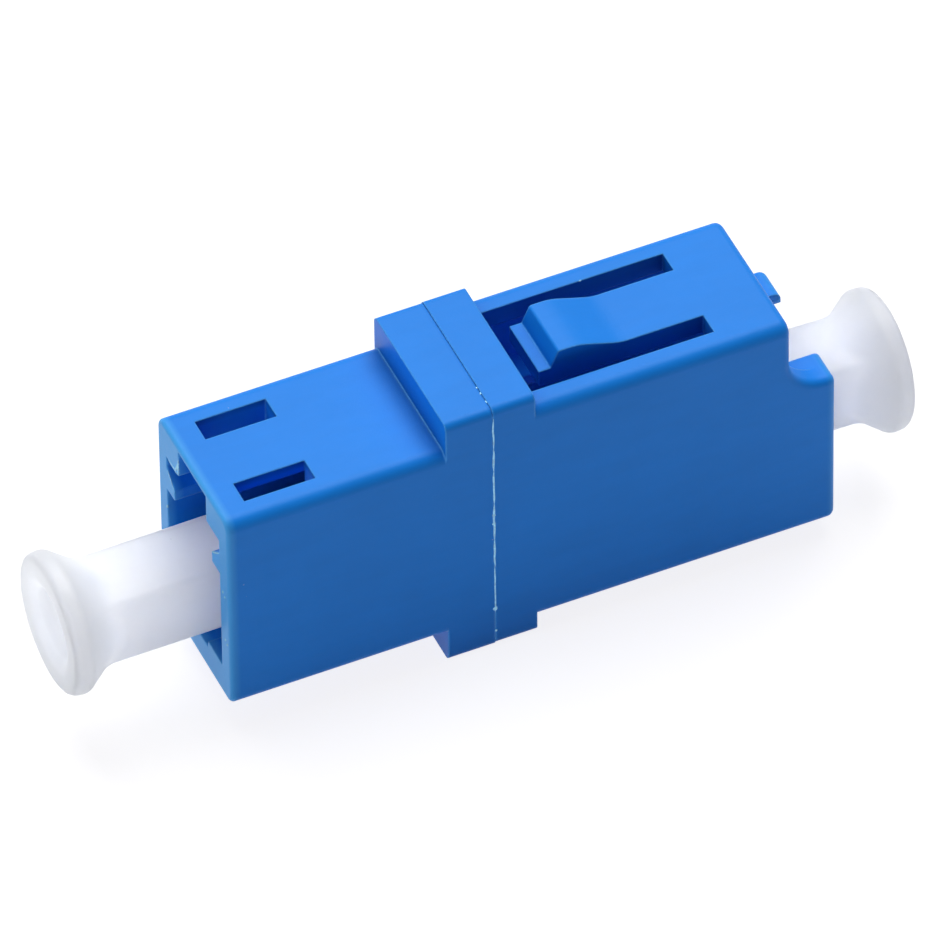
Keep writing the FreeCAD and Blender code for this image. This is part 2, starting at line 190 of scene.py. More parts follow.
def finish_mesh(name, bm, material, body):
    """Turn the bmesh into a smooth piece that rides on the body."""
    mesh = bpy.data.meshes.new(name)
    bm.to_mesh(mesh)
    bm.free()
    mesh.shade_smooth()
    mesh.materials.append(material)
    piece = bpy.data.objects.new(name, mesh)
    bpy.context.scene.collection.objects.link(piece)
    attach(piece, body)
    return piece


def bridge(bm, ring, following):
    """Quads between two closed rings of as many vertices."""
    for index, vertex in enumerate(ring):
        after = (index + 1) % len(ring)
        bm.faces.new((vertex, ring[after], following[after], following[index]))


def close_ring(bm, ring, centre, outward):
    """A fan from the ring to its centre, wound so that it faces outward or inward."""
    middle = bm.verts.new(centre)
    for index, vertex in enumerate(ring):
        after = ring[(index + 1) % len(ring)]
        bm.faces.new((vertex, after, middle) if outward else (after, vertex, middle))


def rounded_path(corners, steps):
    """A path through (x, r, bend) corners, each turned into an arc of that radius."""
    path = []
    for index, (x, r, bend) in enumerate(corners):
        here = Vector((x, r))
        if not bend:
            path.append(here)
            continue
        back = (Vector(corners[index - 1][:2]) - here).normalized()
        on = (Vector(corners[index + 1][:2]) - here).normalized()
        half = back.angle(on) / 2
        centre = here + (back + on).normalized() * (bend / math.sin(half))
        start = here + back * (bend / math.tan(half)) - centre
        end = here + on * (bend / math.tan(half)) - centre
        sweep = start.angle_signed(end)
        for step in range(steps + 1):
            turn = Matrix.Rotation(-sweep * step / steps, 2)
            path.append(centre + turn @ start)
    return path


BEAD_SIDES = 8


def bead(bm, path, thickness, seed, stand, rough):
    """An uneven thread of flash along (point, outward) pairs, sunk into the wall it grew from."""
    ring_before = None
    for index, (point, outward) in enumerate(path):
        ahead = path[min(index + 1, len(path) - 1)][0]
        behind = path[max(index - 1, 0)][0]
        along = (ahead - behind).normalized()
        across = along.cross(outward).normalized()
        wander = noise.noise_vector(Vector((index * 0.37, seed, 0.0)))
        taper = min(1.0, 0.25 + 0.35 * min(index, len(path) - 1 - index))
        wide = thickness * taper * (1.0 + 0.55 * rough * wander.x)
        tall = thickness * taper * stand * (1.0 + 0.6 * rough * wander.y)
        middle = point + across * (thickness * 0.35 * wander.z)
        ring = []
        for corner in range(BEAD_SIDES):
            angle = math.tau * corner / BEAD_SIDES
            pit = 1.0 + 0.18 * rough * noise.noise(Vector((index * 1.3, corner * 0.9, seed)))
            offset = across * (wide / 2 * math.cos(angle)) + outward * (tall * math.sin(angle))
            ring.append(bm.verts.new(middle + offset * pit))
        if ring_before:
            bridge(bm, ring_before, ring)
        else:
            close_ring(bm, ring, middle, False)
        ring_before = ring
    close_ring(bm, ring_before, middle, True)


def straight(start, end, outward, step):
    """(point, outward) pairs along a straight line, about a step apart."""
    start, end, outward = Vector(start) * MM, Vector(end) * MM, Vector(outward)
    count = max(3, round((end - start).length / step))
    return [(start.lerp(end, index / count), outward) for index in range(count + 1)]


def threads(bm, runs, step, thickness, first_seed, stand, rough=1.0):
    """A bead along each (start, end, outward, share) run, its places in millimetres."""
    for seed, (start, end, outward, share) in enumerate(runs, first_seed):
        path = straight(start, end, outward, step)
        bead(bm, path, thickness * share, seed, stand, rough)


def crumbs(bm, lumps, first_seed):
    """A small uneven lump of plastic at each (centre, size), both in millimetres."""
    for seed, (centre, size) in enumerate(lumps, first_seed):
        made = bmesh.ops.create_icosphere(bm, subdivisions=2, radius=1.0)["verts"]
        for vertex in made:
            rough = 1.0 + 0.35 * noise.noise(vertex.co * 1.7 + Vector((seed, 0.0, 0.0)))
            vertex.co = Vector(centre) * MM + Vector(
                side * length for side, length in zip(vertex.co * rough, size)) * MM


# ---- settings ----

class HousingSettings(bpy.types.PropertyGroup):
    """The blue plastic of the two housing halves."""
    colour: FloatVectorProperty(
        name="Colour", description="Colour of the moulded plastic", subtype="COLOR",
        size=3, min=0.0, max=1.0, default=(0.006, 0.258, 0.92))
    roughness: FloatProperty(
        name="Roughness", description="Mean roughness of the moulded surface", subtype="FACTOR",
        min=0.0, max=1.0, default=0.43)
    edge_radius: FloatProperty(
        name="Edge radius", description="Radius that the sharp moulded edges shade with",
        subtype="DISTANCE", unit="LENGTH", precision=5, min=0.0, default=0.14 * MM)
    # painted highlight: how strongly the edges are tinted paler
    edge_shine: FloatProperty(
        name="Edge shine", description="How much paler the plastic is along its edges",
        subtype="FACTOR", min=0.0, max=1.0, default=0.85)
    # painted highlight at the two mouths: its strength and how far its band reaches
    rim_shine: FloatProperty(
        name="Rim shine", description="How much paler the plastic is at the two mouths",
        subtype="FACTOR", min=0.0, max=1.0, default=0.8)
    rim_band: FloatProperty(
        name="Rim band", description="How far that paler band reaches back from a mouth",
        subtype="DISTANCE", unit="LENGTH", precision=5, min=0.0, default=0.4 * MM)
    # painted shade: how far the darker tone reaches in slots and inner corners
    shade_reach: FloatProperty(
        name="Shelter", description="Reach of the deeper tone in slots and inner corners",
        subtype="DISTANCE", unit="LENGTH", precision=5, min=0.0, default=1.6 * MM)
    grain: FloatProperty(
        name="Grain", description="Depth of the fine texture left by the mould",
        subtype="DISTANCE", unit="LENGTH", precision=6, min=0.0, default=0.004 * MM)


class CapSettings(bpy.types.PropertyGroup):
    """The two pull-off dust caps."""
    colour: FloatVectorProperty(
        name="Colour", description="Colour of the soft white plastic", subtype="COLOR",
        size=3, min=0.0, max=1.0, default=(0.925, 0.925, 0.965))
    roughness: FloatProperty(
        name="Roughness", description="Mean roughness of the caps", subtype="FACTOR",
        min=0.0, max=1.0, default=0.42)
    depth: FloatProperty(
        name="Light depth", description="How far light spreads inside the plastic",
        subtype="DISTANCE", unit="LENGTH", precision=5, min=0.0, default=14.0 * MM)
    across: FloatProperty(
        name="Width", description="Width of a cap's shank across its flats",
        subtype="DISTANCE", unit="LENGTH", precision=5, min=0.0, default=3.1 * MM)
    corner: FloatProperty(
        name="Corner", description="Rounding of the shank's long edges",
        subtype="DISTANCE", unit="LENGTH", precision=5, min=0.0, default=0.34 * MM)
    flare: FloatProperty(
        name="Flare", description="Radius of the flared rim",
        subtype="DISTANCE", unit="LENGTH", precision=5, min=0.0, default=2.8 * MM)
    recess: FloatProperty(
        name="Recess", description="Radius of the hole in the cap's outer end",
        subtype="DISTANCE", unit="LENGTH", precision=5, min=0.0, default=1.35 * MM)
    lip: FloatProperty(
        name="Lip", description="Rounding of the edge of that hole",
        subtype="DISTANCE", unit="LENGTH", precision=5, min=0.0, default=0.72 * MM)
    sides: IntProperty(
        name="Sides", description="Points round a cap", min=32, max=256, default=160)


class FlashSettings(bpy.types.PropertyGroup):
    """The weld's flash and the moulding flash."""
    colour: FloatVectorProperty(
        name="Colour", description="Colour of the thin pale flash", subtype="COLOR",
        size=3, min=0.0, max=1.0, default=(0.34, 0.68, 1.0))
    weld: FloatProperty(
        name="Weld thread", description="Thickness of the thread squeezed out of the weld",
        subtype="DISTANCE", unit="LENGTH", precision=5, min=0.0, default=0.1 * MM)
    wisp: FloatProperty(
        name="Wisp", description="Thickness of the wisps at the corners of the slots",
        subtype="DISTANCE", unit="LENGTH", precision=5, min=0.0, default=0.08 * MM)


class StageSettings(bpy.types.PropertyGroup):
    """The floor, the lamps and the camera."""
    floor: FloatVectorProperty(
        name="Floor", description="Colour of the floor", subtype="COLOR",
        size=3, min=0.0, max=1.0, default=(0.88, 0.89, 0.90))
    key: FloatProperty(
        name="Key lamp", description="Power of the large lamp overhead", subtype="POWER",
        unit="POWER", min=0.0, default=2.6)
    fill: FloatProperty(
        name="Fill lamp", description="Power of the lamp beside the front port", subtype="POWER",
        unit="POWER", min=0.0, default=0.5)
    sky: FloatProperty(
        name="Sky", description="Strength of the even light from all round", min=0.0, default=0.12)
    azimuth: FloatProperty(
        name="Azimuth", description="The camera's bearing, 0 when it looks along +Y",
        subtype="ANGLE", unit="ROTATION", default=math.radians(-23.781))
    elevation: FloatProperty(
        name="Elevation", description="The camera's height above the horizon",
        subtype="ANGLE", unit="ROTATION", default=math.radians(45.410))
    roll: FloatProperty(
        name="Roll", description="The camera's turn about its own line of sight",
        subtype="ANGLE", unit="ROTATION", default=math.radians(-0.784))
    distance: FloatProperty(
        name="Distance", description="From the camera to the point that it looks at",
        subtype="DISTANCE", unit="LENGTH", min=0.0, default=0.70088)
    lens: FloatProperty(
        name="Lens", description="Focal length in millimetres on a sensor 36 mm wide",
        min=1.0, default=727.49)


# ---- the housing halves ----

# above UPPER_PART, painted shade darkens slots and inner corners
UPPER_PART = 5.2        # in millimetres; above it, inner corners are deeper in tone
# painted highlight at the two mouths' rounded rims
RIM_HIGHLIGHT_TONE = (0.09, 0.48, 1.0, 1.0)
# painted shade in slots and inner corners
PAINTED_SHADE_TONE = (0.001, 0.10, 0.40, 1.0)
# painted highlight along the edges
EDGE_HIGHLIGHT_TONE = (0.12, 0.48, 1.0, 1.0)
DUST_TONE = (0.55, 0.72, 0.95, 1.0)


def housing_plastic(settings):
    """Satin blue plastic: cloudy flow, fine grain and specks of dust, with painted highlights
    along its edges and mouths and painted shade in its slots and inner corners.
    """
    finish = Finish(bpy.data.materials.new("blue_plastic"))
    place = finish.millimetres()
    cloud = finish.noise(place, 0.22, 3.0)
    flow = finish.noise(finish.millimetres((0.35, 1.6, 1.6)), 0.9, 3.0, 0.6)
    grain = finish.noise(place, 14.0, 2.0)
    orange_peel = finish.noise(place, 2.6, 2.0)
    plain = tuple(settings.colour)
    tone = finish.ramp(cloud * 0.6 + flow * 0.4, (0.35, 0.0), (0.65, 1.0))
    body = finish.tint(tone, lit(plain, 0.955), lit(plain, 1.035))
    soft = finish.add("Bevel", {"samples": 6}, {"Radius": settings.edge_radius})
    sharp = finish.add("NewGeometry", output="Normal")
    bend = 1.0 - finish.add("VectorMath", {"operation": "DOT_PRODUCT"}, {0: soft, 1: sharp},
                            output="Value")
    # painted highlight along the edges, where the bevelled normal turns away from the true one
    scuff_and_edge_highlight = finish.ramp(bend * (0.75 + 0.5 * orange_peel), (0.02, 0.0), (0.3, 1.0))
    along, up = finish.axis(place, 0), finish.axis(place, 2)
    band = settings.rim_band / MM
    # painted highlight: paler bands at the front and rear mouths, where their rounded rims would
    # catch light
    front_rim_highlight = finish.ramp(along - MOUTH_X / MM, (0.0, 1.0), (band, 0.0))
    rear_rim_highlight = finish.ramp(REAR_END / MM - along, (0.0, 0.6), (band, 0.0))
    rim_highlight = finish.larger(front_rim_highlight, rear_rim_highlight)
    body = finish.tint(rim_highlight * settings.rim_shine, body, RIM_HIGHLIGHT_TONE)
    # painted shade: ambient occlusion darkens slots and inner corners on the upper part
    open_to = finish.add("AmbientOcclusion", {"samples": 8}, {"Distance": settings.shade_reach},
                         output="AO")
    upper = finish.ramp(up - UPPER_PART, (0.0, 0.0), (0.3, 1.0))
    painted_shade = finish.ramp(open_to, (0.35, 0.95), (0.92, 0.0)) * upper
    body = finish.tint(painted_shade, body, PAINTED_SHADE_TONE)
    edge = finish.tint(scuff_and_edge_highlight * settings.edge_shine, body, EDGE_HIGHLIGHT_TONE)
    cells = finish.add("TexVoronoi", {"feature": "F1"}, {"Vector": place, "Scale": 1.1})
    dust = (cells < 0.035) * (finish.noise(place, 1.7) > 0.62)
    colour = finish.tint(dust * 0.35, edge, DUST_TONE)
    rough = settings.roughness - 0.05 + 0.06 * orange_peel + 0.04 * grain + dust * 0.2
    height = finish.add("Bump", None, {
        "Strength": 1.0, "Distance": settings.grain, "Height": grain + orange_peel * 1.5,
        "Normal": soft})
    surface = finish.add("BsdfPrincipled", None, {
        "Base Color": colour, "Roughness": rough, "Normal": height, "IOR": 1.5,
        # part metal along the edges: a painted reflection of the pale surroundings
        "Metallic": scuff_and_edge_highlight * 0.4,
        "Specular IOR Level": 0.2})
    return finish.output(surface)


class ADAPTER_OT_housings(bpy.types.Operator):
    """Finish both housing halves in satin blue plastic"""
    bl_idname = "adapter.housings"
    bl_label = "Housings"

    def execute(self, context):
        material = housing_plastic(context.scene.adapter_housing)
        for node in ("front_housing", "rear_housing"):
            paint(node, material)
        return {"FINISHED"}


# ---- the alignment sleeve ----

def sleeve_ceramic():
    """Polished zirconia with the faint rings that centreless grinding leaves."""
    finish = Finish(bpy.data.materials.new("zirconia"))
    place = finish.millimetres()
    rings = finish.noise(finish.millimetres((9.0, 0.4, 0.4)), 1.0, 2.0)
    cloud = finish.noise(place, 1.2)
    colour = finish.tint(cloud, (0.86, 0.84, 0.79, 1.0), (0.93, 0.92, 0.88, 1.0))
    height = finish.add("Bump", None, {
        "Strength": 0.5, "Distance": 0.0015 * MM, "Height": rings})
    surface = finish.add("BsdfPrincipled", None, {
        "Base Color": colour, "Roughness": 0.1 + 0.12 * rings, "Normal": height,
        "IOR": 2.1})
    return finish.output(surface)


class ADAPTER_OT_sleeve(bpy.types.Operator):
    """Finish the split sleeve in polished zirconia"""
    bl_idname = "adapter.sleeve"
    bl_label = "Split sleeve"

    def execute(self, context):
        paint("split_sleeve", sleeve_ceramic())
        return {"FINISHED"}


# ---- the dust caps ----

CAP_INNER, CAP_END = 2.9 * MM, 17.0 * MM
CAP_BORE, CAP_BORE_END = 1.3 * MM, 13.4 * MM
FLARE_START, CONE_RADIUS = 14.48 * MM, 1.4 * MM
FLARE_WIDEST = 16.35 * MM
HOLE_DEPTH, HOLE_FLOOR = 1.6 * MM, 1.1 * MM
HOLE_BEND = 0.3 * MM            # rounding of the hole's bottom
FLARE_BEND, RIM_BEND = 0.45 * MM, 0.32 * MM
RIM_FALL = 0.06 * MM            # how much smaller the rim gets towards the end
INNER_EDGE = 0.12 * MM          # rounding of the shank's inner end
SOFT_JOIN = 0.3 * MM            # blend between the shank and the flare
# where the painted shade in the cap's end hole starts along the axis and fades off it
HOLLOW_START, HOLLOW_EDGE = 15.0, 1.05      # in millimetres, along and off the axis
BORE_TAPER, BORE_TAPER_LENGTH = 0.15 * MM, 0.05 * MM
BORE_CHAMFER = 0.06 * MM        # at the shank's inner end
BORE_STEP = 1.5 * MM            # from one ring of the bore to the next
SKIN_WAVE = 0.006 * MM          # how far the skin strays from its true shape
EDGE_STEPS, SHANK_STEPS, CONE_STEPS, ARC_STEPS = 6, 40, 32, 8
CAP_PIVOT = 3.4 * MM            # where a cap tips in its port
CAP_DROOP = {"front_dust_cap": math.radians(0.3), "rear_dust_cap": math.radians(1.7)}


def cap_plastic(settings):
    """Soft milky plastic: light spreads inside it, its skin is slightly wavy and scuffed, and its
    end hole carries painted shade.
    """
    finish = Finish(bpy.data.materials.new("cap_plastic"))
    place = finish.millimetres()
    cloud = finish.noise(place, 0.35, 3.0)
    wave = finish.noise(place, 1.1, 3.0)
    scuff = finish.noise(finish.millimetres((1.0, 3.4, 3.4)), 1.5, 4.0, 0.65)
    plain = tuple(settings.colour)
    colour = finish.tint(finish.ramp(cloud, (0.3, 0.0), (0.7, 1.0)),
                         lit(plain, 0.965), lit(plain, 1.02))
    cells = finish.add("TexVoronoi", {"feature": "F1"}, {"Vector": place, "Scale": 0.8})
    speck = (cells < 0.05) * (finish.noise(place, 0.9) > 0.6)
    colour = finish.tint(speck * 0.4, colour, (0.30, 0.31, 0.36, 1.0))
    # painted shade: the end hole drawn in a darker copy of the plastic
    off_axis = finish.add("VectorMath", {"operation": "LENGTH"}, {
        0: finish.millimetres((0.0, 1.0, 1.0))}, output="Value")
    hole_shade = finish.ramp(off_axis - HOLLOW_EDGE, (0.0, 1.0), (0.4, 0.0))
    hole_shade = hole_shade * (abs(finish.axis(place, 0)) > HOLLOW_START)
    colour = finish.tint(hole_shade, colour, lit(plain, 0.66))
    # real scuffs on the cap's skin: rougher and bumped
    scuff_and_edge_highlight = finish.ramp(scuff, (0.62, 0.0), (0.74, 1.0))
    height = finish.add("Bump", None, {
        "Strength": 1.0, "Distance": 0.02 * MM, "Height": wave + 0.35 * scuff_and_edge_highlight})
    surface = finish.add("BsdfPrincipled", {"subsurface_method": "BURLEY"}, {
        "Base Color": colour, "Roughness": settings.roughness + 0.12 * scuff_and_edge_highlight,
        "Normal": height, "IOR": 1.51, "Subsurface Weight": 1.0,
        "Subsurface Radius": (1.0, 0.95, 1.0), "Subsurface Scale": settings.depth})
    return finish.output(surface)


def shank_reach(angle, half, corner):
    """From the axis to the skin of a square bar with rounded edges, in one direction."""
    across, up = abs(math.cos(angle)), abs(math.sin(angle))
    flat = half / max(across, up)
    if flat * min(across, up) <= half - corner:
        return flat
    inset = half - corner
    along = inset * (across + up)
    return along + math.sqrt(max(0.0, along * along - 2 * inset * inset + corner * corner))


def joined(first, second, blend):
    """The larger of two radii, with a soft join where they are close."""
    gap = max(0.0, blend - abs(first - second)) / blend
    return max(first, second) + gap * gap * blend / 4


def cap_rings(settings):
    """The cap's skin as (x, radius, inset) places from the bottom of its bore to its recess.

    Where inset is a number the skin is the square shank drawn in by it, unless radius is larger.
    """
    rings = [(CAP_BORE_END, CAP_BORE - BORE_TAPER, None),
             (CAP_BORE_END - BORE_TAPER_LENGTH, CAP_BORE, None)]
    rings += [(CAP_BORE_END - step * BORE_STEP, CAP_BORE, None) for step in range(1, 7)]
    rings += [(CAP_INNER + BORE_CHAMFER, CAP_BORE, None),
              (CAP_INNER, CAP_BORE + BORE_CHAMFER, None)]
    for step in range(EDGE_STEPS, -1, -1):
        angle = math.pi / 2 * step / EDGE_STEPS
        rings.append((CAP_INNER + INNER_EDGE * (1 - math.sin(angle)), 0.0,
                      INNER_EDGE * (1 - math.cos(angle))))
    rim = settings.flare
    flare = rounded_path((
        (FLARE_START, CONE_RADIUS, 0.0),
        (FLARE_WIDEST, rim, FLARE_BEND),
        (CAP_END, rim - RIM_FALL, RIM_BEND),
        (CAP_END, settings.recess, settings.lip),
        (CAP_END - HOLE_DEPTH, HOLE_FLOOR, HOLE_BEND),
        (CAP_END - HOLE_DEPTH, 0.0, 0.0),
    ), ARC_STEPS)
    cone_end = flare[1]
    shank_start = CAP_INNER + INNER_EDGE
    rings += [(shank_start + (FLARE_START - shank_start) * step / SHANK_STEPS, 0.0, 0.0)
              for step in range(1, SHANK_STEPS)]
    slope = (cone_end.y - CONE_RADIUS) / (cone_end.x - FLARE_START)
    for step in range(CONE_STEPS):
        x = FLARE_START + (cone_end.x - FLARE_START) * step / CONE_STEPS
        rings.append((x, CONE_RADIUS + slope * (x - FLARE_START), 0.0))
    rings += [(point.x, point.y, None) for point in flare[1:-1]]
    return rings


def dust_cap(name, node, side, body, settings, material):
    """One cap, built along +X from the centre and then seated where its CAD piece is."""
    droop = CAP_DROOP[node]
    low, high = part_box(node)
    reach = high.x if side > 0 else -low.x
    face = settings.flare - RIM_FALL - RIM_BEND
    at_rest = CAP_PIVOT + (CAP_END - CAP_PIVOT) * math.cos(droop) + face * math.sin(droop)
    seat = (Matrix.Translation((side * (reach - at_rest), 0.0, 0.0))
            @ Matrix.Rotation(0.0 if side > 0 else math.pi, 4, "Z")
            @ Matrix.Translation((CAP_PIVOT, 0.0, 0.0))
            @ Matrix.Rotation(droop, 4, "Y")
            @ Matrix.Translation((-CAP_PIVOT, 0.0, 0.0)))
    bm = bmesh.new()
    before = first = None
    for x, radius, inset in cap_rings(settings):
        ring = []
        for index in range(settings.sides):
            angle = math.tau * index / settings.sides
            skin = radius
            if inset is not None:
                skin = joined(radius, shank_reach(angle, settings.across / 2, settings.corner)
                              - inset, SOFT_JOIN)
                spot = Vector((x, math.cos(angle) * skin, math.sin(angle) * skin)) / MM
                skin += SKIN_WAVE * noise.noise(spot * 0.5 + Vector((side * 9.0, 0.0, 0.0)))
            ring.append(bm.verts.new((x, math.cos(angle) * skin, math.sin(angle) * skin)))
        if before:
            bridge(bm, before, ring)
        else:
            first = ring
        before = ring
    close_ring(bm, first, (CAP_BORE_END, 0.0, 0.0), False)
    close_ring(bm, before, (CAP_END - HOLE_DEPTH, 0.0, 0.0), True)
    bmesh.ops.transform(bm, matrix=seat, verts=bm.verts)
    bmesh.ops.recalc_face_normals(bm, faces=bm.faces)
    piece = finish_mesh(name, bm, material, body)
    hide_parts(node)


class ADAPTER_OT_dust_caps(bpy.types.Operator):
    """Make the two soft dust caps, with flared and recessed ends"""
    bl_idname = "adapter.dust_caps"
    bl_label = "Dust caps"

    def execute(self, context):
        settings = context.scene.adapter_caps
        material = cap_plastic(settings)
        dust_cap("front_cap_skin", "front_dust_cap", -1, "front_cap", settings, material)
        dust_cap("rear_cap_skin", "rear_dust_cap", 1, "rear_cap", settings, material)
        return {"FINISHED"}


# ---- flash ----

REAR_TOP = 6.35         # in millimetres, from the axis up to the rear half's top wall


def flash_plastic(settings):
    """Thin, torn plastic, much paler than the wall it grew from, and part metal so that it shows a
    painted reflection of the pale surroundings.
    """
    finish = Finish(bpy.data.materials.new("flash_plastic"))
    place = finish.millimetres()
    tear = finish.noise(place, 6.0, 3.0, 0.6)
    plain = tuple(settings.colour)
    colour = finish.tint(finish.ramp(tear, (0.35, 0.0), (0.65, 1.0)),
                         lit(plain, 0.75), lit(plain, 1.15))
    height = finish.add("Bump", None, {"Strength": 1.0, "Distance": 0.01 * MM, "Height": tear})
    # Metallic: a painted reflection of the pale surroundings on the threads
    surface = finish.add("BsdfPrincipled", None, {
        "Base Color": colour, "Roughness": 0.35 + 0.3 * tear, "Metallic": 0.55,
        "Normal": height})
    return finish.output(surface)


class ADAPTER_OT_weld_flash(bpy.types.Operator):
    """Lay the threads that the weld squeezed out of the seam"""
    bl_idname = "adapter.weld_flash"
    bl_label = "Weld flash"

    def execute(self, context):
        settings = context.scene.adapter_flash
        material = flash_plastic(settings)
        x, side = SEAM_X / MM, NEAR_SIDE / MM
        top = FLANGE_TOP / MM
        bm = bmesh.new()
        runs = (
            ((x, side, 6.62), (x, side, 5.0), (0, -1, 0), 0.75),
            ((x, side, 5.05), (x, side, 3.9), (0, -1, 0), 1.0),
            ((x, side, 3.95), (x, side, 2.15), (0, -1, 0), 0.8),
            ((x, side, 2.2), (x, side, 0.3), (0, -1, 0), 1.0),
            ((x, side, 0.35), (x, side, -1.1), (0, -1, 0), 0.9),
            ((x, side, -1.05), (x, side, -3.5), (0, -1, 0), 0.65),
            ((x, -side, 6.1), (x, -side, 2.2), (0, 1, 0), 0.7),
            ((x, -side, 0.4), (x, -side, -4.1), (0, 1, 0), 0.9),
            ((x, -2.2, FLOOR_Z / MM + 0.06), (x, 1.3, FLOOR_Z / MM + 0.06), (0, 0, -1), 0.5),
        )
        threads(bm, runs, 0.16 * MM, settings.weld, 0, 0.45, 0.35)
        lumps = (
            ((x, side, -3.3), (0.10, 0.05, 0.10)),
            ((x - 0.02, side, 1.62), (0.07, 0.05, 0.08)),
            ((x - 0.02, side, 1.18), (0.07, 0.05, 0.07)),
            ((x, side, 5.75), (0.05, 0.04, 0.06)),
            ((x + 0.02, side, -4.48), (0.05, 0.04, 0.05)),
            ((x, -2.15, top), (0.06, 0.06, 0.035)),
            ((x - 0.02, -1.82, top), (0.05, 0.05, 0.03)),
            ((x, -2.62, top - 0.01), (0.04, 0.09, 0.03)),
        )
        crumbs(bm, lumps, 0)
        finish_mesh("weld_flash", bm, material, "housing")
        return {"FINISHED"}


class ADAPTER_OT_mould_flash(bpy.types.Operator):
    """Add the torn wisps at the slots, the catch and the ledge"""
    bl_idname = "adapter.mould_flash"
    bl_label = "Moulding flash"

    def execute(self, context):
        settings = context.scene.adapter_flash
        material = bpy.data.materials["flash_plastic"]
        top = REAR_BOX[1].z / MM
        roof = REAR_TOP
        mouth = MOUTH_X / MM
        bm = bmesh.new()
        slits = (
            ((8.72, 1.24, roof - 0.02), (9.04, 1.14, roof - 0.02), (0, 0, 1), 0.6),
            ((8.70, -1.29, roof - 0.02), (9.02, -1.2, roof - 0.02), (0, 0, 1), 0.6),
            ((1.06, 1.9, top - 0.22), (1.12, 2.34, roof + 0.02), (1, 0, 0.4), 0.6),
        )
        threads(bm, slits, 0.06 * MM, settings.wisp, 20, 0.4, 0.5)
        torn = (
            ((mouth, 1.55, 4.12), (mouth, 1.28, 4.62), (-1, 0, 0), 1.3),
            ((mouth, 1.28, 4.12), (mouth, 1.26, 4.95), (-1, 0, 0), 1.1),
            ((mouth, 2.2, 4.1), (mouth, 1.3, 4.1), (-1, 0, 0), 0.7),
            ((mouth, -1.72, 2.9), (mouth, -2.38, 3.42), (-1, 0, 0), 1.0),
            ((mouth, 2.3, 3.45), (mouth, 1.75, 2.9), (-1, 0, 0), 0.5),
        )
        threads(bm, torn, 0.07 * MM, settings.wisp, 30, 0.45)
        lumps = (
            ((mouth + 0.02, 1.36, 4.45), (0.05, 0.12, 0.14)),
            ((mouth + 0.02, 1.5, 4.25), (0.04, 0.09, 0.09)),
            ((mouth, 2.42, 1.45), (0.04, 0.06, 0.08)),
            ((mouth, -2.66, 1.66), (0.03, 0.06, 0.07)),
            ((mouth, -2.82, 1.52), (0.03, 0.05, 0.05)),
            ((mouth, -2.78, -0.74), (0.03, 0.05, 0.07)),
            ((mouth, -2.94, -0.86), (0.03, 0.05, 0.05)),
            ((5.34, 2.26, roof - 0.03), (0.07, 0.03, 0.04)),
        )
        crumbs(bm, lumps, 40)
        finish_mesh("mould_flash", bm, material, "housing")
        return {"FINISHED"}


# ---- the stage ----

FLOOR_REACH = 0.6               # from the middle of the floor to its sides
FLOOR_SHADE, FLOOR_GLOW = 0.38, 0.85    # of the floor's light, the lit part and the even part
SENSOR_WIDTH = 36.0
AIM = Vector((-0.183, 0.0, 0.988)) * MM     # the point that the camera looks at


def seen(finish):
    """1 on a ray from the camera, off a gloss or through glass, and 0 on other rays."""
    camera, glossy, through = (
        finish.add("LightPath", output=f"Is {kind} Ray")
        for kind in ("Camera", "Glossy", "Transmission"))
    return finish.larger(camera, finish.larger(glossy, through))


def floor_material(settings):
    """A pale matt floor that shows as white and keeps a light shadow."""
    finish = Finish(bpy.data.materials.new("pale_floor"))
    plain = tuple(settings.floor)
    matt = finish.add("BsdfDiffuse", None, {"Color": lit(plain, 0.95)})
    shaded = finish.add("BsdfDiffuse", None, {"Color": lit(plain, FLOOR_SHADE)})
    glow = finish.add("Emission", None, {
        "Color": (1.0, 0.99, 1.0, 1.0), "Strength": FLOOR_GLOW})
    white = finish.add("AddShader", None, {0: shaded, 1: glow})
    return finish.output(finish.add("MixShader", None, {0: seen(finish), 1: matt, 2: white}))


def sky(settings):
    """An even, faintly cool light from all round, white to the camera."""
    world = bpy.data.worlds.new("soft_sky")
    finish = Finish(world)
    dim = finish.add("Background", None, {
        "Color": (0.93, 0.96, 1.0, 1.0), "Strength": settings.sky})
    white = finish.add("Background", None, {"Color": (1.0, 1.0, 1.0, 1.0), "Strength": 1.0})
    both = finish.add("MixShader", None, {0: seen(finish), 1: dim, 2: white})
    finish.add("OutputWorld", None, {"Surface": both})
    bpy.context.scene.world = world


def lamp(name, power, size, place, colour):
    """A square soft lamp that faces the adapter."""
    light = bpy.data.lights.new(name, "AREA")
    light.energy = power
    light.size = size
    light.color = colour
    holder = bpy.data.objects.new(name, light)
    holder.location = place
    holder.rotation_euler = (-Vector(place)).to_track_quat("-Z", "Y").to_euler()
    bpy.context.scene.collection.objects.link(holder)


def camera(settings):
    """The camera, on a long lens, so that the adapter's long edges stay almost parallel."""
    a, e = settings.azimuth, settings.elevation
    back = Vector((math.sin(a) * math.cos(e), -math.cos(a) * math.cos(e), math.sin(e)))
    right = Vector((math.cos(a), math.sin(a), 0.0))
    up = back.cross(right)
    c, s = math.cos(settings.roll), math.sin(settings.roll)
    right, up = right * c + up * s, up * c - right * s
    data = bpy.data.cameras.new("camera")
    data.lens = settings.lens
    data.sensor_width = SENSOR_WIDTH
    data.clip_start, data.clip_end = 0.01, 10.0
    holder = bpy.data.objects.new("camera", data)
    turned = Matrix((right, up, back)).transposed().to_4x4()
    holder.matrix_world = Matrix.Translation(AIM + back * settings.distance) @ turned
    bpy.context.scene.collection.objects.link(holder)
    bpy.context.scene.camera = holder


